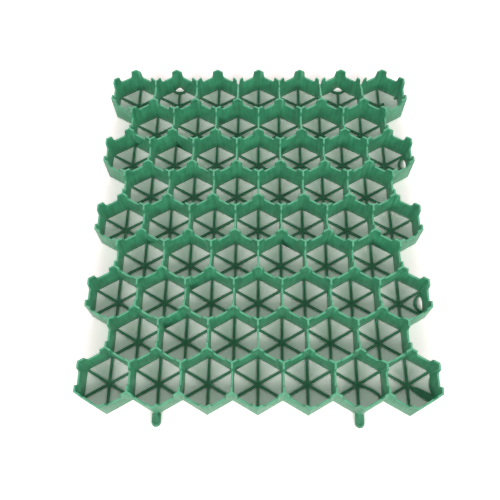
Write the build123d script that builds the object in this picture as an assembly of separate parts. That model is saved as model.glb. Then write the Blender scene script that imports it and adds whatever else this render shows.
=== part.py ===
from build123d import *
import os
from math import atan2, cos, degrees, pi, sin, sqrt

os.makedirs("parts", exist_ok=True)

# Driving dimensions, in millimetres.
CELL_PITCH = 72.0        # across the flats of a cell, from wall centre to wall centre
HEIGHT = 50.0            # ground to the top of the merlons
ROW_LENGTHS = (7, 6, 7, 6, 7, 6, 7, 6, 7)   # cells in each row, from the back
WALL_FOOT = 3.4          # wall thickness at the spokes
WALL_TOP = 2.8           # wall thickness at the top, after the draft
SPOKE_WIDTH = 3.8
SPOKE_HEIGHT = 3.0
HUB_RADIUS = 5.0         # round meeting place of a cell's spokes, level with them
CRENEL_SHARE = 0.49      # share of a wall's length that a crenel's floor takes
CRENEL_DROP = 10.0       # how far a crenel's floor lies under the merlon tops
RIM_DROP = 13.5          # the same for the walls round the edge of the tile
CRENEL_FLARE = 1.2       # how far each side of a crenel leans outwards on its way up
MERLON_ROUND = 3.0       # radius of a merlon's top corners
SAG_DEPTH = 4.5          # how far the back edge's merlons sag at their cross walls
SAG_AT_CRENEL = 1.0      # what is left of that sag at the crenels on both sides
SLIT_FOOT = 3.2          # slits that part some of these merlons: width at the floor
SLIT_MOUTH = 5.2         # and where the sag begins
SLIT_DROP = 15.5         # from the merlon tops down to a slit's floor
SOCKET_RADIUS = 12.5     # inside of the rib that takes a neighbour's tongue
SOCKET_SET_OUT = 1.8     # from the centre line of the edge walls out to a socket's centre
SOCKET_RIB = 3.4
SOCKET_HEIGHT = 4.4
ARCH_RISE = 5.0          # height of the mouth through the wall
ARCH_WIDTH = 22.0
TONGUE_WIDTH = 13.0
TONGUE_REACH = 19.0      # from the centre of the corner that carries it
TONGUE_RISE = 3.8
TONGUE_ROUND = 1.3       # radius along a tongue's upper edges
NOSE_ROUND = 2.6         # radius of the tongue's front, which rides up into the socket
LIP_WIDTH = 1.9          # crescent that snaps behind the socket's mouth
LIP_HEIGHT = 4.7
STIFFENER_CHORD = 26.0   # low rib at the foot of the last cell's outer wall
STIFFENER_DEPTH = 3.0
BREAK_FROM_HUB = 11.0    # gap of the broken spoke, measured along it
BREAK_TO_CORNER = 8.0
BOW = 3.8                # how far the bent spoke has moved off its straight line

# Cells of the locks and of the damage, as (row, place in the row), from the back left.
BACK_SOCKETS = ((0, 1), (0, 5))
RIGHT_SOCKETS = ((2, 6), (6, 6))
FRONT_TONGUES = ((8, 1), (8, 5))
STIFFENED_CELL = (8, 6)
SLIT_PLACES = (2, 4, 5)                 # cells of the back row slit at their right junction
BROKEN_SPOKE = ((0, 6), 30)             # cell, and the spoke's direction in degrees from +X
BENT_SPOKE = ((8, 5), -30)

# What follows from the driving dimensions.
SIDE = CELL_PITCH / sqrt(3)
ROW_PITCH = 1.5 * SIDE
CRENEL_HALF = CRENEL_SHARE * SIDE / 2
MIDDLE_ROW = (len(ROW_LENGTHS) - 1) / 2
CLEAR = 2.0              # how far a cutting tool runs past what it cuts


def cell_centre(row, place):
    """Centre of a cell: alternate rows are shifted by half a pitch, closest packed."""
    x = (place - (ROW_LENGTHS[row] - 1) / 2) * CELL_PITCH
    y = (MIDDLE_ROW - row) * ROW_PITCH
    return x, y


def cells():
    """Centres of all cells, row by row."""
    return [
        cell_centre(row, place)
        for row, length in enumerate(ROW_LENGTHS)
        for place in range(length)
    ]


def hexagon(centre, flat_to_flat, z=0.0):
    """Outline of a hexagon with a corner towards the back, as points."""
    radius = flat_to_flat / sqrt(3)
    x, y = centre
    return [
        (x + radius * sin(k * pi / 3), y + radius * cos(k * pi / 3), z)
        for k in range(6)
    ]


def rim(thickness):
    """Outer outline of the joined cells, half a wall outside the cell edges."""
    hexagons = [
        Face(Wire.make_polygon(hexagon(centre, CELL_PITCH + thickness)))
        for centre in cells()
    ]
    joined = hexagons[0].fuse(*hexagons[1:]).clean()
    return joined.faces()[0].outer_wire()


def rim_corners(thickness, z):
    """Corners of that outline, in order round the tile, at a height."""
    edges = rim(thickness).order_edges()
    return [(edge @ 0) + Vector(0, 0, z) for edge in edges]


def frustum(low, high):
    """Solid with flat sides between two outlines, given as points in the same order."""
    sides = []
    for k in range(len(low)):
        sides.append([low[k - 1], low[k], high[k], high[k - 1]])
    faces = [Face(Wire.make_polygon(points)) for points in [low, high] + sides]
    return Solid(Shell(faces))


def pocket():
    """Space inside the cell at the origin: it widens upwards, as its mould core does."""
    slope = (WALL_FOOT - WALL_TOP) / (HEIGHT - SPOKE_HEIGHT)
    low_gap = CELL_PITCH - WALL_FOOT - slope * CLEAR
    high_gap = CELL_PITCH - WALL_TOP + slope * CLEAR
    return frustum(
        hexagon((0, 0), low_gap, SPOKE_HEIGHT - CLEAR),
        hexagon((0, 0), high_gap, HEIGHT + CLEAR),
    )


def walls():
    """Shared hexagonal walls with draft: thick at the foot, thin at the top."""
    foot = rim_corners(WALL_FOOT, SPOKE_HEIGHT)
    top = rim_corners(WALL_TOP, HEIGHT)
    block = frustum(foot, [min(top, key=lambda p: (p - corner).length) for corner in foot])
    core = pocket()
    return block.cut(*[core.moved(Location((x, y, 0))) for x, y in cells()])


def crenel_bar(drop, length):
    """Cutting bar along X, centred on the origin, with its floor this far down.

    A crenel's sides lean outwards. Of each merlon's round corner it keeps the one flat
    that touches the round at its middle, because there are over four hundred of them."""
    flat = MERLON_ROUND * (2 - sqrt(2))
    half_section = [
        (CRENEL_HALF, HEIGHT - drop),
        (CRENEL_HALF + CRENEL_FLARE, HEIGHT - flat),
        (CRENEL_HALF + CRENEL_FLARE + flat + CLEAR, HEIGHT + CLEAR),
    ]
    outline = [(-length / 2, y, z) for y, z in half_section]
    outline += [(-length / 2, -y, z) for y, z in reversed(half_section)]
    return Solid.extrude(Face(Wire.make_polygon(outline)), Vector(length, 0, 0))


def castellated(honeycomb):
    """Crenels in the middle of every wall: the tile turns past the bars in three steps."""
    lines = len(ROW_LENGTHS)
    bar = crenel_bar(CRENEL_DROP, 2 * CELL_PITCH * lines)
    bars = [bar.moved(Location((0, k * ROW_PITCH, 0))) for k in range(-lines, lines + 1)]
    for _ in range(3):
        honeycomb = honeycomb.cut(*bars).rotate(Axis.Z, 60)
    return honeycomb.rotate(Axis.Z, 180)


def rim_crenels():
    """Deeper crenels, one across the middle of each wall on the edge of the tile."""
    short = crenel_bar(RIM_DROP, 4 * WALL_FOOT)
    bars = []
    for edge in rim(0).edges():
        middle, along = edge @ 0.5, edge % 0.5
        turn = degrees(atan2(along.Y, along.X)) - 90
        bars.append(short.moved(Location((middle.X, middle.Y, 0), (0, 0, turn))))
    return bars


def window():
    """Opening between two spokes of the cell at the origin; the hub rounds off its tip."""
    far = (CELL_PITCH - WALL_FOOT) / 2
    half_far = (far - SPOKE_WIDTH) / sqrt(3)
    cut_off = sqrt(HUB_RADIUS ** 2 - SPOKE_WIDTH ** 2 / 4) - SPOKE_WIDTH * cos(pi / 6)
    near = SPOKE_WIDTH + cut_off * cos(pi / 6)
    half_near = cut_off * sin(pi / 6)
    return Wire.make_polygon(
        [(near, -half_near), (far, -half_far), (far, half_far), (near, half_near)]
    )


def spoke_plate():
    """Bottom layer: feet of the walls, and six spokes in every cell."""
    ring = [window().rotate(Axis.Z, 60 * k) for k in range(6)]
    openings = [
        opening.moved(Location((x, y, 0)))
        for x, y in cells()
        for opening in ring
    ]
    plate = Face(rim(WALL_FOOT), openings)
    return Solid.extrude(plate, Vector(0, 0, SPOKE_HEIGHT))


def along_spoke(start, end, height):
    """Cutting box over the spoke that points to +X, between two distances from the hub."""
    width = SPOKE_WIDTH + CLEAR
    box = Solid.make_box(end - start, width, height + 2 * CLEAR)
    return box.moved(Location((start, -width / 2, -CLEAR)))


def at_spoke(shape, cell, direction):
    """Places a shape made along +X on one of a cell's spokes."""
    x, y = cell_centre(*cell)
    return shape.rotate(Axis.Z, direction).moved(Location((x, y, 0)))


def with_damage(plate):
    """One spoke broken away between two stubs, and one pushed out of line in an arc."""
    gap = along_spoke(BREAK_FROM_HUB, SIDE - BREAK_TO_CORNER, SPOKE_HEIGHT)
    straight = along_spoke(HUB_RADIUS, SIDE - WALL_FOOT - SPOKE_WIDTH, SPOKE_HEIGHT)
    arc = ThreePointArc((0, 0), (SIDE / 2, BOW), (SIDE, 0))
    bent = Solid.extrude(trace(arc, SPOKE_WIDTH).faces()[0], Vector(0, 0, SPOKE_HEIGHT))
    plate = plate.cut(at_spoke(gap, *BROKEN_SPOKE), at_spoke(straight, *BENT_SPOKE))
    return plate.fuse(at_spoke(bent, *BENT_SPOKE))


def junction_cut(half_section, place):
    """Cut along Y through the merlons of one of the back row's junctions."""
    x, y = cell_centre(0, place)
    side = [(across, 0, z) for across, z in half_section]
    other = [(-across, 0, z) for across, z in reversed(half_section)]
    tool = Solid.extrude(Face(Wire.make_polygon(side + other)), Vector(0, SIDE, 0))
    return tool.moved(Location((x + CELL_PITCH / 2, y + CRENEL_HALF, 0)))


def back_junction_cuts():
    """Sags in the merlons where cross walls meet the back edge, and slits in some."""
    reach = (SIDE / 2 - CRENEL_HALF - CRENEL_FLARE) * cos(pi / 6)
    sag = [
        (SLIT_FOOT / 2, HEIGHT - SAG_DEPTH),
        (reach, HEIGHT - SAG_AT_CRENEL),
        (reach, HEIGHT + CLEAR),
    ]
    slit = [
        (SLIT_FOOT / 2, HEIGHT - SLIT_DROP),
        (SLIT_MOUTH / 2, HEIGHT - SAG_DEPTH),
        (SLIT_MOUTH / 2, HEIGHT + CLEAR),
    ]
    cuts = [junction_cut(sag, place) for place in range(ROW_LENGTHS[0] - 1)]
    return cuts + [junction_cut(slit, place) for place in SLIT_PLACES]


def corner(row, place, side):
    """Centre of a cell's back (+1) or front (-1) corner."""
    x, y = cell_centre(row, place)
    return x, y + side * SIDE


def socket_places():
    """Where the sockets are: each opens towards +Y before its turn."""
    places = []
    for cell in BACK_SOCKETS:
        x, y = corner(*cell, 1)
        places.append(Location((x, y + SOCKET_SET_OUT, 0)))
    for cell in RIGHT_SOCKETS:
        x, y = cell_centre(*cell)
        places.append(Location((x + CELL_PITCH / 2 + SOCKET_SET_OUT, y, 0), (0, 0, -90)))
    return places


def mouth():
    """Low arch through the wall along Y, as deep as the inside of the rib."""
    radius = (ARCH_WIDTH ** 2 / 4 + ARCH_RISE ** 2) / (2 * ARCH_RISE)
    start = Plane((0, 2 * SOCKET_RADIUS, ARCH_RISE - radius), z_dir=(0, -1, 0))
    barrel = Solid.make_cylinder(radius, 4 * SOCKET_RADIUS, start)
    well = Solid.make_cylinder(SOCKET_RADIUS, 2 * ARCH_RISE, Plane((0, 0, -CLEAR)))
    return barrel.intersect(well).solids()[0]


def inner_ribs():
    """Round ribs of the sockets, and the shallow one at the last cell, up to the walls."""
    outer = Solid.make_cylinder(SOCKET_RADIUS + SOCKET_RIB, SOCKET_HEIGHT)
    ring = outer.cut(Solid.make_cylinder(SOCKET_RADIUS, SOCKET_HEIGHT))
    ribs = [ring.moved(place) for place in socket_places()]
    radius = (STIFFENER_CHORD ** 2 / 4 + STIFFENER_DEPTH ** 2) / (2 * STIFFENER_DEPTH)
    x, y = cell_centre(*STIFFENED_CELL)
    centre = x + (CELL_PITCH - WALL_FOOT) / 2 - STIFFENER_DEPTH + radius
    ribs.append(Solid.make_cylinder(radius, SOCKET_HEIGHT, Plane((centre, y, 0))))
    inside = frustum(rim_corners(0, 0), rim_corners(0, SOCKET_HEIGHT))
    return [piece for rib in ribs for piece in rib.intersect(inside).solids()]


def tongue():
    """Tongue that points to -Y: a flat bar, a round nose, and a crescent lip on it."""
    radius = TONGUE_WIDTH / 2
    straight = TONGUE_REACH - radius
    bar = Solid.make_box(TONGUE_WIDTH, straight, TONGUE_RISE)
    upper = bar.edges().filter_by(Axis.Y).group_by(Axis.Z)[-1]
    bar = bar.fillet(TONGUE_ROUND, upper).moved(Location((-radius, -straight, 0)))
    brow = radius - NOSE_ROUND
    chin = TONGUE_RISE - NOSE_ROUND
    with BuildSketch(Plane.XZ) as profile:
        with BuildLine():
            Polyline((brow, TONGUE_RISE), (0, TONGUE_RISE), (0, 0), (radius, 0), (radius, chin))
            RadiusArc((brow, TONGUE_RISE), (radius, chin), NOSE_ROUND)
        make_face()
    nose = revolve(profile.sketch, Axis.Z, 360).solids()[0]
    disc = Solid.make_cylinder(brow, LIP_HEIGHT)
    lip = disc.cut(disc.moved(Location((0, LIP_WIDTH, 0))))
    end = nose.fuse(lip).moved(Location((0, -straight, 0)))
    return bar.fuse(end)


plate = with_damage(spoke_plate())
honeycomb = castellated(walls()).cut(*rim_crenels(), *back_junction_cuts())
grid = honeycomb.fuse(plate)
grid = grid.fuse(*inner_ribs())
grid = grid.cut(*[mouth().moved(place) for place in socket_places()])
tongues = []
for cell in FRONT_TONGUES:
    x, y = corner(*cell, -1)
    tongues.append(tongue().moved(Location((x, y, 0))))
grid = grid.fuse(*tongues)
export_step(grid.solids()[0], "parts/honeycomb_grid.step")
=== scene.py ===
# %% [markdown]
# # A honeycomb gravel grid, finished around its CAD frame
# The real thing is one injection moulding: hexagonal walls with castellated tops stand on
# a net of spokes, and tongues and sockets on the edges lock tile to tile. The construction
# comes as a fixed frame. This lesson adds what the frame lacks: gaps under the inner walls,
# the rounds of the mould, a pip on every hub, one broad spoke, and the look of green
# polyethylene.

# %% Load the frame
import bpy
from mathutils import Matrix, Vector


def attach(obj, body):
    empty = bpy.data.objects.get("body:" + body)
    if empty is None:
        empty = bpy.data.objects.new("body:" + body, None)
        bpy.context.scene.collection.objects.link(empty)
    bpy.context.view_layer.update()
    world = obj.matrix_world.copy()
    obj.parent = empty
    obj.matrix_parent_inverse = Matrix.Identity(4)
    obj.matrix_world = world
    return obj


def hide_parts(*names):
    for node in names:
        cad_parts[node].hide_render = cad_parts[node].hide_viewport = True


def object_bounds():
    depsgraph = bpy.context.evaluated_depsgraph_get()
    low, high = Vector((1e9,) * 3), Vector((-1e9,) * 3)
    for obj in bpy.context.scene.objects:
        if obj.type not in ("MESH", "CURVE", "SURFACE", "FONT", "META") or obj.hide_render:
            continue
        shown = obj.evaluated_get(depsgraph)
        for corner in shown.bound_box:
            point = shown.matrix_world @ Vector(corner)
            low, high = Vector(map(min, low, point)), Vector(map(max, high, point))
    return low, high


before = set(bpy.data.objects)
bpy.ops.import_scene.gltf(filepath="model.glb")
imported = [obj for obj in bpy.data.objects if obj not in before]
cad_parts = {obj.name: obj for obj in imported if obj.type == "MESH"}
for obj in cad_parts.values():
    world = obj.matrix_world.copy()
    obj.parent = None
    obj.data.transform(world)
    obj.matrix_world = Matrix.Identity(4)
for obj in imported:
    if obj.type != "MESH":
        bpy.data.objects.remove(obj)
cad_low, cad_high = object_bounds()
print("CAD box, mm:", [round(1000 * v, 1) for v in (*cad_low, *cad_high)])

# %% [markdown]
# ## Tools for the whole lesson
# Three small helpers are enough. One turns a hex colour, as a paint chart gives it, into
# the linear numbers that a shader works with. One adds a node with its settings, values and
# links in a single call, so that a material reads as a list. One makes a mesh out of numpy
# arrays.

# %% Helpers
from math import cos, pi, radians, sin, sqrt, tan

import bmesh
import bpy
import numpy as np
from mathutils import Matrix, Vector

MM = 0.001


def linear(hex_colour):
    """sRGB hex to linear RGBA: a straight toe below 0.04045, and a 2.4 power above it."""
    srgb = np.array([int(hex_colour[k:k + 2], 16) for k in (1, 3, 5)]) / 255
    toe = srgb / 12.92
    curve = ((srgb + 0.055) / 1.055) ** 2.4
    return (*np.where(srgb <= 0.04045, toe, curve), 1.0)


def node(tree, kind, sockets=None, **settings):
    """Adds a node. Each socket, by its name or number, gets a link or a value."""
    made = tree.nodes.new(kind)
    for name, value in settings.items():
        setattr(made, name, value)
    for socket, source in (sockets or {}).items():
        if isinstance(source, bpy.types.NodeSocket):
            tree.links.new(source, made.inputs[socket])
        else:
            made.inputs[socket].default_value = source
    return made


def mesh_object(name, points, *face_arrays):
    """Object at the origin whose mesh holds these points, in metres, and arrays of faces."""
    mesh = bpy.data.meshes.new(name)
    faces = [face for array in face_arrays for face in array.tolist()]
    mesh.from_pydata(points.tolist(), [], faces)
    mesh.validate()
    made = bpy.data.objects.new(name, mesh)
    bpy.context.scene.collection.objects.link(made)
    return made


print("helpers ready; middle grey is", round(linear("#808080")[0], 3), "to a shader")

# %% [markdown]
# ## The lattice
# Everything that repeats on this tile sits on one lattice of hexagons. Its pitch and the
# number of cells in each row are the frame's own, so the pieces made here need no fitting.

# %% Cell centres
PITCH = 72 * MM                          # across a cell's flats
SIDE = PITCH / sqrt(3)                   # along one wall
HEIGHT = cad_high.z
ROWS = (7, 6, 7, 6, 7, 6, 7, 6, 7)       # cells in each row, from the back to the front
SPOKE_TOP = 3 * MM

row_of = np.repeat(np.arange(len(ROWS)), ROWS)
place_of = np.concatenate([np.arange(n) for n in ROWS])
length_of = np.array(ROWS)[row_of]
middle_row = len(ROWS) // 2
centres = np.stack(
    [(place_of - (length_of - 1) / 2) * PITCH, (middle_row - row_of) * 1.5 * SIDE], axis=1
)
print(len(centres), "cells, the first at", np.round(centres[0] / MM, 1), "mm")

# %% [markdown]
# ## The camera
# A camera could be aimed by eye, with a constraint that tracks the tile. But a tile of known
# pitch is its own surveying rod: fitting the lattice to the picture gives the camera's place,
# its three turns and its focal length, and leaves nothing to guess. The place is in cell
# pitches here, and the turns are in radians.

# %% Camera
STAND = Vector((-0.0033, -5.9086, 11.9693)) * PITCH
TILT_DOWN, YAW, ROLL = 1.1443, 0.0330, 0.0274
FOCAL_PIXELS, FRAME_PIXELS, SENSOR = 589.2, 500, 36.0
NEAREST, FARTHEST = 0.01, 20

right = Vector((cos(YAW), sin(YAW), 0))
forward = Vector((-sin(YAW) * cos(TILT_DOWN), cos(YAW) * cos(TILT_DOWN), -sin(TILT_DOWN)))
down = forward.cross(right)
rolled_right = cos(ROLL) * right + sin(ROLL) * down
rolled_down = cos(ROLL) * down - sin(ROLL) * right
axes = Matrix((rolled_right, -rolled_down, -forward)).transposed()

camera = bpy.data.objects.new("camera", bpy.data.cameras.new("camera"))
bpy.context.scene.collection.objects.link(camera)
camera.matrix_world = Matrix.Translation(STAND) @ axes.to_4x4()
camera.data.sensor_width = SENSOR
camera.data.lens = FOCAL_PIXELS / FRAME_PIXELS * SENSOR
camera.data.clip_start = NEAREST
camera.data.clip_end = FARTHEST
bpy.context.scene.camera = camera
print("lens", round(camera.data.lens, 1), "mm, camera height", round(STAND.z, 3), "m")

# %% [markdown]
# ## Gaps under the inner walls
# A wall between two cells doesn't reach the ground. It hangs between the corners, which
# stand on the spokes, so water and roots pass from cell to cell, and a line of lit ground
# shows under it. Only the outer walls go all the way down. The walls could be built anew
# with gaps in them, but a Boolean keeps the frame's own faces everywhere else. It needs a
# closed mesh, so a copy of the frame's loose triangles is welded first. All the gaps are
# then cut at once with prisms worked out as arrays, whose ends are pointed to leave the
# spokes whole.

# %% Prisms in the shape of the gaps
GAP_HEIGHT = 7.5 * MM
GAP_HALF_ACROSS = 2.2 * MM      # a little more than half a wall's foot
SPOKE_CLEAR = 2.1 * MM          # half a spoke's width and a little more
SPOKE_TURN = pi / 3             # between a wall's line and the spoke that meets it
SLACK = 0.01 * PITCH            # two lengths this close count as equal


def neighbour_pairs():
    """Two arrays of cell numbers: each pair of cells one pitch apart, once."""
    apart = np.linalg.norm(centres[:, None] - centres[None], axis=2)
    first, second = np.nonzero(abs(apart - PITCH) < SLACK)
    return first[first < second], second[first < second]


def gap_prisms():
    """Prisms under the inner walls: plan points are middle + s along the wall + t across it."""
    first, second = neighbour_pairs()
    middle = (centres[first] + centres[second]) / 2
    across = (centres[second] - centres[first]) / PITCH
    along = np.stack([-across[:, 1], across[:, 0]], axis=1)
    point = SIDE / 2 - SPOKE_CLEAR / sin(SPOKE_TURN)
    shoulder = point - GAP_HALF_ACROSS / tan(SPOKE_TURN)
    s = np.array([-point, -shoulder, shoulder, point, shoulder, -shoulder])
    t = np.array([0, -1, -1, 0, 1, 1]) * GAP_HALF_ACROSS
    plan = middle[:, None] + s[:, None] * along[:, None] + t[:, None] * across[:, None]
    points = np.zeros((len(middle), 2, len(s), 3))
    points[..., :2] = plan[:, None]
    points[:, 0, :, 2] = -GAP_HEIGHT
    points[:, 1, :, 2] = GAP_HEIGHT
    k = np.arange(len(s))
    after = (k + 1) % len(s)
    sides = np.stack([k, after, after + len(s), k + len(s)], axis=1)
    floors = np.array([[5, 4, 3, 0], [3, 2, 1, 0]])
    tops = floors[:, ::-1] + len(s)
    faces = np.concatenate([sides, floors, tops])
    step = 2 * len(s) * np.arange(len(middle))[:, None, None]
    return mesh_object("gap_prisms", points.reshape(-1, 3), (faces + step).reshape(-1, 4))


gaps = gap_prisms()
print(len(neighbour_pairs()[0]), "prisms with", len(gaps.data.polygons), "faces")

# %% Weld a copy and cut the gaps
WELD = 0.002 * MM


def welded_copy(source, name):
    """Copy of a CAD node whose loose triangles are joined along their edges."""
    made = bpy.data.objects.new(name, source.data.copy())
    bpy.context.scene.collection.objects.link(made)
    made.data.materials.clear()
    shape = bmesh.new()
    shape.from_mesh(made.data)
    bmesh.ops.remove_doubles(shape, verts=shape.verts, dist=WELD)
    shape.to_mesh(made.data)
    shape.free()
    return made


def cut_away(piece, cutters):
    """Subtracts the cutters from the piece for good, and removes them."""
    cut = piece.modifiers.new("cut", "BOOLEAN")
    cut.operation = "DIFFERENCE"
    cut.solver = "EXACT"
    cut.object = cutters
    finished = piece.evaluated_get(bpy.context.evaluated_depsgraph_get())
    result = bpy.data.meshes.new_from_object(finished)
    piece.modifiers.clear()
    piece.data = result
    bpy.data.objects.remove(cutters)


moulding = welded_copy(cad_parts["honeycomb_grid"], "honeycomb_moulding")
whole = len(moulding.data.polygons)
cut_away(moulding, gaps)
print("gaps cut:", whole, "faces before and", len(moulding.data.polygons), "after")

# %% [markdown]
# ## Rounded edges on the moulding
# No moulded edge is knife sharp, because the cutter that made the mould had a radius. The
# frame has true walls, but its merlon corners are single flats and its other edges are sharp.
# A single Bevel modifier would round them all to one width, and here there are two. So the
# flat facets are joined, the big rounds of the castellation are cut into the mesh, and a
# hairline round on the other edges is left to a Bevel modifier whose hardened normals keep
# the flat walls flat. An edge too short for the hairline is marked sharp instead.

# %% Round the castellation
CRENEL_FLOORS = (HEIGHT - 10 * MM, HEIGHT - 13.5 * MM)      # inner walls, and the tile's rim
CRENEL_ROUND = 3.2 * MM
MERLON_ROUND = 3 * MM
FLAT_REACH = MERLON_ROUND * (2 - sqrt(2))      # the frame's one flat per merlon corner
WALL_ACROSS = 3.3 * MM                         # edges shorter than this run across a wall
IN_PLANE = radians(0.5)                        # faces that turn less than this are one flat


def edges_across(shape, heights, outward, tolerance=0.05 * MM):
    """Short level edges at one of these heights, where a profile turns outward or inward."""
    found = []
    for edge in shape.edges:
        low, high = sorted(v.co.z for v in edge.verts)
        level = any(abs(low - z) < tolerance and abs(high - z) < tolerance for z in heights)
        if level and edge.calc_length() < WALL_ACROSS and edge.is_convex == outward:
            found.append(edge)
    return found


def rounded(shape, edges, reach, segments):
    """Replaces edges by arcs that start this far from them on both faces."""
    bmesh.ops.bevel(
        shape, geom=edges, offset=reach, offset_type="OFFSET", affect="EDGES",
        segments=segments, profile=0.5, clamp_overlap=False,
    )


shape = bmesh.new()
shape.from_mesh(moulding.data)
bmesh.ops.remove_doubles(shape, verts=shape.verts, dist=WELD)
bmesh.ops.dissolve_limit(shape, angle_limit=IN_PLANE, verts=shape.verts, edges=shape.edges)
crown = edges_across(shape, [HEIGHT, HEIGHT - FLAT_REACH], True)
rounded(shape, crown, MERLON_ROUND * tan(pi / 8), 2)
notch = edges_across(shape, CRENEL_FLOORS, False)
rounded(shape, notch, CRENEL_ROUND, 3)
print(len(crown), "merlon edges and", len(notch), "crenel edges rounded")

# %% Mark the edges that get the hairline round
HAIRLINE = 0.3 * MM
ROOM = 2.5 * HAIRLINE           # shortest edge beside which the hairline still fits
CREASE = radians(35)            # flatter edges belong to a round already

weights = shape.edges.layers.float.get("bevel_weight_edge")
if weights is None:
    weights = shape.edges.layers.float.new("bevel_weight_edge")
room = {v: min(e.calc_length() for e in v.link_edges) for v in shape.verts if v.link_edges}
marked = 0
for edge in shape.edges:
    if len(edge.link_faces) != 2 or edge.calc_face_angle(0) < CREASE:
        continue
    if min(room[v] for v in edge.verts) > ROOM:
        edge[weights] = 1.0
        marked += 1
    else:
        edge.smooth = False
shape.to_mesh(moulding.data)
shape.free()
print(marked, "edges marked")

# %% Finish the moulding
moulding.data.shade_smooth()
hairline = moulding.modifiers.new("hairline", "BEVEL")
hairline.limit_method = "WEIGHT"
hairline.width = HAIRLINE
hairline.segments = 2
hairline.use_clamp_overlap = False
hairline.harden_normals = True
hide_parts("honeycomb_grid")
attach(moulding, "root")
evaluated = moulding.evaluated_get(bpy.context.evaluated_depsgraph_get())
print("moulding:", sum(len(p.vertices) - 2 for p in evaluated.data.polygons), "triangles")

# %% [markdown]
# ## Pips on the hubs
# A pin pushes the warm moulding out of its mould at every hub, and leaves a low ring with a
# dimple. One could be inset from a cylinder by hand. Here the ring is a turned shape, whose
# profile is a short list of radii and heights, and all 59 are computed in one go: profile
# times angle times cell.

# %% One turned pip on every hub
PIP_PROFILE = np.array([(1.1, 0.1), (1.5, 0.8), (2.3, 0.8), (2.9, -0.2)]) * MM
PIP_SIDES = 14


def turned(name, profile, spots, base, sides):
    """Closed turned shapes: spot + r(t) (cos a, sin a), at base + z(t), with two poles each."""
    angle = 2 * pi * np.arange(sides) / sides
    rim = np.stack([np.cos(angle), np.sin(angle)], axis=1)
    rings, count = len(profile), len(profile) * sides + 2
    points = np.zeros((len(spots), count, 3))
    around = (profile[:, None, :1] * rim[None]).reshape(-1, 2)
    points[:, :-2, :2] = spots[:, None] + around
    points[:, -2:, :2] = spots[:, None]
    points[:, :-2, 2] = base + np.repeat(profile[:, 1], sides)
    points[:, -2:, 2] = base + profile[[0, -1], 1]
    k = np.arange(sides)
    after = (k + 1) % sides
    ring = sides * np.arange(rings - 1)[:, None]
    bands = np.stack([ring + k, ring + k + sides, ring + after + sides, ring + after], axis=-1)
    top = np.stack([np.full(sides, count - 2), k, after], axis=1)
    last = sides * (rings - 1)
    bottom = np.stack([last + k, np.full(sides, count - 1), last + after], axis=1)
    step = count * np.arange(len(spots))[:, None, None]
    parts = [(part.reshape(-1, part.shape[-1]) + step).reshape(-1, part.shape[-1])
             for part in (bands, top, bottom)]
    return mesh_object(name, points.reshape(-1, 3), *parts)


pips = turned("hub_pips", PIP_PROFILE, centres, SPOKE_TOP, PIP_SIDES)
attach(pips, "root")
print("pips:", len(pips.data.polygons), "faces")

# %% [markdown]
# ## The broad spoke
# One spoke of the front right corner cell is a web about three times as wide as the others.
# A scaled box would be as broad at both ends, and this one swells and narrows. So it is a
# flat plate with an outline that is the same on both sides of the spoke's axis, and only
# half the widths are listed. It lies just under the spoke's own top, and the two tops don't
# share a plane.

# %% A web along one spoke
WEB_STATIONS = np.array([4, 13, 24, 34, 39]) * MM      # from the hub along the spoke
WEB_HALF_WIDTHS = np.array([1.5, 4.2, 5.6, 6.0, 3.4]) * MM
WEB_HEIGHTS = (0.1 * MM, SPOKE_TOP - 0.3 * MM)
WEB_TURN = radians(-30)


def web_plate(name, hub):
    """Plate: plan points are hub + s along the spoke, w(s) to either side, at two heights."""
    s = np.concatenate([WEB_STATIONS, WEB_STATIONS[::-1]])
    w = np.concatenate([-WEB_HALF_WIDTHS, WEB_HALF_WIDTHS[::-1]])
    x = hub[0] + s * cos(WEB_TURN) - w * sin(WEB_TURN)
    y = hub[1] + s * sin(WEB_TURN) + w * cos(WEB_TURN)
    points = np.concatenate([np.stack([x, y, np.full(len(s), z)], axis=1) for z in WEB_HEIGHTS])
    k = np.arange(len(s))
    after = (k + 1) % len(s)
    sides = np.stack([k, after, after + len(s), k + len(s)], axis=1)
    return mesh_object(name, points, sides, k[None, ::-1], k[None] + len(s))


web = web_plate("corner_web", centres[-1])
web_edge = web.modifiers.new("hairline", "BEVEL")
web_edge.width = HAIRLINE
web_edge.segments = 2
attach(web, "root")
print("web:", [round(1000 * v, 1) for v in web.dimensions], "mm")

# %% [markdown]
# ## The plastic
# High-density polyethylene, coloured in the mass and injection moulded. It isn't glossy:
# the mould's spark-eroded skin scatters the highlight, and the melt leaves faint clouds and
# upright flow marks. A painted highlight makes the faces that look up in the upper half
# paler, and a painted grey sheen lies on the spokes. A picture could be wrapped round the
# tile, but 59 cells would show its seams and its repeats, so noise, height and the way a face
# looks do the work. All of it follows Object coordinates, so the pattern stays on the plastic
# from any side.

# %% Colours of the melt
MID_GREEN = linear("#45A076")
DEEP_GREEN = linear("#368360")
CLOUD = 18 * MM                   # size of the colour clouds
STREAK = 4 * MM                   # width of a flow mark
STREAK_SQUASH = 0.12              # heights count this much, which draws the marks out upright
MELT_RANGE = (0.75, 1.25)         # of two noises added, from all deep green to all mid green
FIRST, SECOND, MIXED = 6, 7, 2    # numbers of the colour sockets on a Mix node


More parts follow.
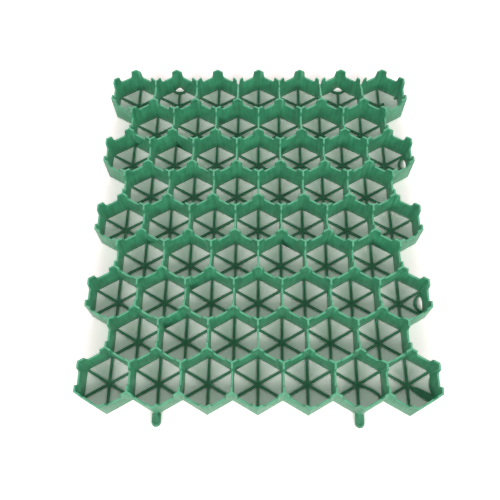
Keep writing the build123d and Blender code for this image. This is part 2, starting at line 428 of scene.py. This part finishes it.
def melt_green(tree, place, clouds):
    """Deep to mid green, by the sum of clouds and upright streaks."""
    drawn = node(tree, "ShaderNodeMapping", {"Vector": place, "Scale": (1, 1, STREAK_SQUASH)})
    streaks = node(
        tree, "ShaderNodeTexNoise",
        {"Vector": drawn.outputs["Vector"], "Scale": 1 / STREAK, "Detail": 2.0},
    )
    both = node(
        tree, "ShaderNodeMath", {0: clouds, 1: streaks.outputs["Fac"]}, operation="ADD"
    )
    share = node(
        tree, "ShaderNodeMapRange",
        {"Value": both.outputs[0], "From Min": MELT_RANGE[0], "From Max": MELT_RANGE[1]},
    )
    green = node(
        tree, "ShaderNodeMix",
        {"Factor": share.outputs["Result"], FIRST: DEEP_GREEN, SECOND: MID_GREEN},
        data_type="RGBA",
    )
    return green.outputs[MIXED]


print("greens:", np.round(DEEP_GREEN[:3], 3), "to", np.round(MID_GREEN[:3], 3))

# %% Painted sheen on the spokes, and a painted highlight on the top edges
# Painted sheen: a light grey over the dark spokes stands in for white light on them.
SHEEN_GREY = linear("#9AA89C")
SHEEN_SHARE = 0.16
SHEEN_HEIGHTS = (3 * MM, 6 * MM)                       # full at the first, gone at the second
# Painted highlight: mint on the faces that look up in the upper half, where light falls on the
# tops.
HIGHLIGHT_MINT = linear("#84D6AE")
HIGHLIGHT_SHARE = 0.4
HIGHLIGHT_FACING = (0.5, 0.95)                             # upward part of the normal
HIGHLIGHT_HEIGHTS = (HEIGHT / 2, HEIGHT / 2 + 5 * MM)      # none at the first, full at the second


def painted_sheen(tree, green, height):
    """Painted sheen: grey over the green, a share that falls with height from the spokes' tops.
    """
    share = node(
        tree, "ShaderNodeMapRange",
        {"Value": height, "From Min": SHEEN_HEIGHTS[0], "From Max": SHEEN_HEIGHTS[1],
         "To Min": SHEEN_SHARE, "To Max": 0.0},
    )
    mix = node(
        tree, "ShaderNodeMix",
        {"Factor": share.outputs["Result"], FIRST: green, SECOND: SHEEN_GREY}, data_type="RGBA",
    )
    return mix.outputs[MIXED]


def painted_highlight(tree, green, normal, height):
    """Painted highlight: mint over the green, by how far a face looks up, times a step at half
    the height.
    """
    facing = node(tree, "ShaderNodeSeparateXYZ", {"Vector": normal})
    upward = node(
        tree, "ShaderNodeMapRange",
        {"Value": facing.outputs["Z"], "From Min": HIGHLIGHT_FACING[0],
         "From Max": HIGHLIGHT_FACING[1], "To Max": HIGHLIGHT_SHARE},
    )
    high = node(
        tree, "ShaderNodeMapRange",
        {"Value": height, "From Min": HIGHLIGHT_HEIGHTS[0], "From Max": HIGHLIGHT_HEIGHTS[1]},
    )
    share = node(
        tree, "ShaderNodeMath", {0: upward.outputs[0], 1: high.outputs[0]},
        operation="MULTIPLY",
    )
    mix = node(
        tree, "ShaderNodeMix",
        {"Factor": share.outputs[0], FIRST: green, SECOND: HIGHLIGHT_MINT}, data_type="RGBA",
    )
    return mix.outputs[MIXED]


# Printed: how high the painted sheen reaches, and where the painted highlight begins.
print("dust up to", SHEEN_HEIGHTS[1] / MM, "mm, wear from", round(HIGHLIGHT_HEIGHTS[0] / MM), "mm up")

# %% Moulded HDPE
GRAIN = 0.9 * MM                  # spark-eroded skin is finer, but finer would not show
GRAIN_DEPTH = 0.1 * MM
GRAIN_STRENGTH = 0.15
SATIN = (0.36, 0.52)              # roughness, which varies with the clouds
HDPE_IOR = 1.54


def moulded_hdpe():
    """Green HDPE: cloudy colour, a painted highlight on the top edges, a painted sheen on the
    spokes, satin skin with a fine grain.
    """
    material = bpy.data.materials.new("moulded_hdpe_green")
    material.use_nodes = True
    tree = material.node_tree
    tree.nodes.clear()
    coordinate = node(tree, "ShaderNodeTexCoord").outputs
    place = coordinate["Object"]
    height = node(tree, "ShaderNodeSeparateXYZ", {"Vector": place}).outputs["Z"]
    clouds = node(
        tree, "ShaderNodeTexNoise", {"Vector": place, "Scale": 1 / CLOUD, "Detail": 3.0}
    ).outputs["Fac"]
    # The painted sheen goes on the spokes here.
    green = painted_sheen(tree, melt_green(tree, place, clouds), height)
    grain = node(
        tree, "ShaderNodeTexNoise", {"Vector": place, "Scale": 1 / GRAIN, "Detail": 2.0}
    )
    skin = node(
        tree, "ShaderNodeBump",
        {"Height": grain.outputs["Fac"], "Strength": GRAIN_STRENGTH, "Distance": GRAIN_DEPTH},
    )
    gloss = node(
        tree, "ShaderNodeMapRange", {"Value": clouds, "To Min": SATIN[0], "To Max": SATIN[1]}
    )
    shader = node(
        tree, "ShaderNodeBsdfPrincipled",
        {
            # the painted highlight on the faces that look up
            "Base Color": painted_highlight(tree, green, coordinate["Normal"], height),
            "Roughness": gloss.outputs["Result"],
            "Normal": skin.outputs["Normal"],
            "IOR": HDPE_IOR,
        },
    )
    node(tree, "ShaderNodeOutputMaterial", {"Surface": shader.outputs["BSDF"]})
    return material


hdpe = moulded_hdpe()
for piece in (moulding, pips, web):
    piece.data.materials.append(hdpe)
print("material", hdpe.name, "with", len(hdpe.node_tree.nodes), "nodes")

# %% [markdown]
# ## Floor, lamps and air
# The tile lies on white paper in a light tent: soft light comes from all sides at 15 to 55
# degrees and none from above, so the cells hold shade. Light that low reaches over one wall
# and lights the paper only at the foot of the next, through the gaps too. A lamp overhead
# would fill every cell with light instead. Three soft lamps outside the tent make it brighter
# at the front, most at the right, and stand far off, so that front and back rows get nearly
# the same. The paper is made whiter for the camera alone, so the background is white while
# the plastic keeps its colour.

# %% Floor
PAPER = linear("#EDE3E2")
PAPER_BOOST = 1.85
FLOOR_HALF = 3.0


def white_paper():
    """Matt white paper that only the camera, gloss and glass see brighter than it is."""
    material = bpy.data.materials.new("white_paper")
    material.use_nodes = True
    tree = material.node_tree
    tree.nodes.clear()
    path = node(tree, "ShaderNodeLightPath").outputs
    seen = node(
        tree, "ShaderNodeMath",
        {0: path["Is Camera Ray"], 1: path["Is Glossy Ray"]}, operation="MAXIMUM",
    )
    seen_or_through = node(
        tree, "ShaderNodeMath",
        {0: seen.outputs[0], 1: path["Is Transmission Ray"]}, operation="MAXIMUM",
    )
    boosted = (*(PAPER_BOOST * c for c in PAPER[:3]), 1.0)
    tone = node(
        tree, "ShaderNodeMix",
        {"Factor": seen_or_through.outputs[0], FIRST: PAPER, SECOND: boosted},
        data_type="RGBA",
    )
    diffuse = node(tree, "ShaderNodeBsdfDiffuse", {"Color": tone.outputs[MIXED]})
    node(tree, "ShaderNodeOutputMaterial", {"Surface": diffuse.outputs["BSDF"]})
    return material


corners = np.array([(-1, -1, 0), (1, -1, 0), (1, 1, 0), (-1, 1, 0)]) * FLOOR_HALF
floor = mesh_object("floor", corners, np.array([[0, 1, 2, 3]]))
floor.data.materials.append(white_paper())
print("paper:", 2 * FLOOR_HALF, "m square")

# %% Lamps
LAMP_SIZE = 1.10
LAMP_DISTANCE = 5.20
LAMPS = {
    "lamp_right": (48, 33, 92.0),       # degrees from the front, degrees up, watts
    "lamp_left": (-42, 36, 70.0),
    "lamp_back": (180, 24, 36.0),
}


def lamp(name, turn, rise, watts):
    """Square soft lamp aimed at the tile's middle; turn is measured from the front."""
    data = bpy.data.lights.new(name, "AREA")
    data.shape = "SQUARE"
    data.size = LAMP_SIZE
    data.energy = watts
    made = bpy.data.objects.new(name, data)
    bpy.context.scene.collection.objects.link(made)
    away = Vector((sin(turn) * cos(rise), -cos(turn) * cos(rise), sin(rise)))
    made.location = away * LAMP_DISTANCE
    made.rotation_mode = "QUATERNION"
    made.rotation_quaternion = away.to_track_quat("Z", "Y")


for name, (turn, rise, watts) in LAMPS.items():
    lamp(name, radians(turn), radians(rise), watts)
print(len(LAMPS), "lamps", LAMP_DISTANCE, "m away")

# %% Air
TENT = 1.13                      # radiance of the tent's walls
TENT_FOOT = (0.14, 0.36)         # sines of the rises between which their light fades in
TENT_TOP = (0.72, 0.92)          # and of those between which it fades out

world = bpy.data.worlds.new("light_tent")
bpy.context.scene.world = world
world.use_nodes = True
sky = world.node_tree
sky.nodes.clear()
by_camera = node(sky, "ShaderNodeLightPath").outputs["Is Camera Ray"]
towards = node(sky, "ShaderNodeTexCoord").outputs["Generated"]
climb = node(sky, "ShaderNodeSeparateXYZ", {"Vector": towards}).outputs["Z"]
fade_in = node(
    sky, "ShaderNodeMapRange",
    {"Value": climb, "From Min": TENT_FOOT[0], "From Max": TENT_FOOT[1]},
    interpolation_type="SMOOTHSTEP",
)
fade_out = node(
    sky, "ShaderNodeMapRange",
    {"Value": climb, "From Min": TENT_TOP[0], "From Max": TENT_TOP[1],
     "To Min": TENT, "To Max": 0.0},
    interpolation_type="SMOOTHSTEP",
)
tent = node(
    sky, "ShaderNodeMath", {0: fade_in.outputs[0], 1: fade_out.outputs[0]},
    operation="MULTIPLY",
)
strength = node(
    sky, "ShaderNodeMapRange", {"Value": by_camera, "To Min": tent.outputs[0], "To Max": 1.0}
)
air = node(
    sky, "ShaderNodeBackground",
    {"Color": (1.0, 1.0, 1.0, 1.0), "Strength": strength.outputs["Result"]},
)
node(sky, "ShaderNodeOutputWorld", {"Surface": air.outputs["Background"]})
print("air:", world.name, "with", len(sky.nodes), "nodes")

# %% [markdown]
# ## The picture
# The Standard view shows colours about as they are written, where other views would bend
# them. And nothing made here may grow the tile.

# %% Picture settings
bpy.context.scene.view_settings.view_transform = "Standard"
print("view:", bpy.context.scene.view_settings.view_transform)
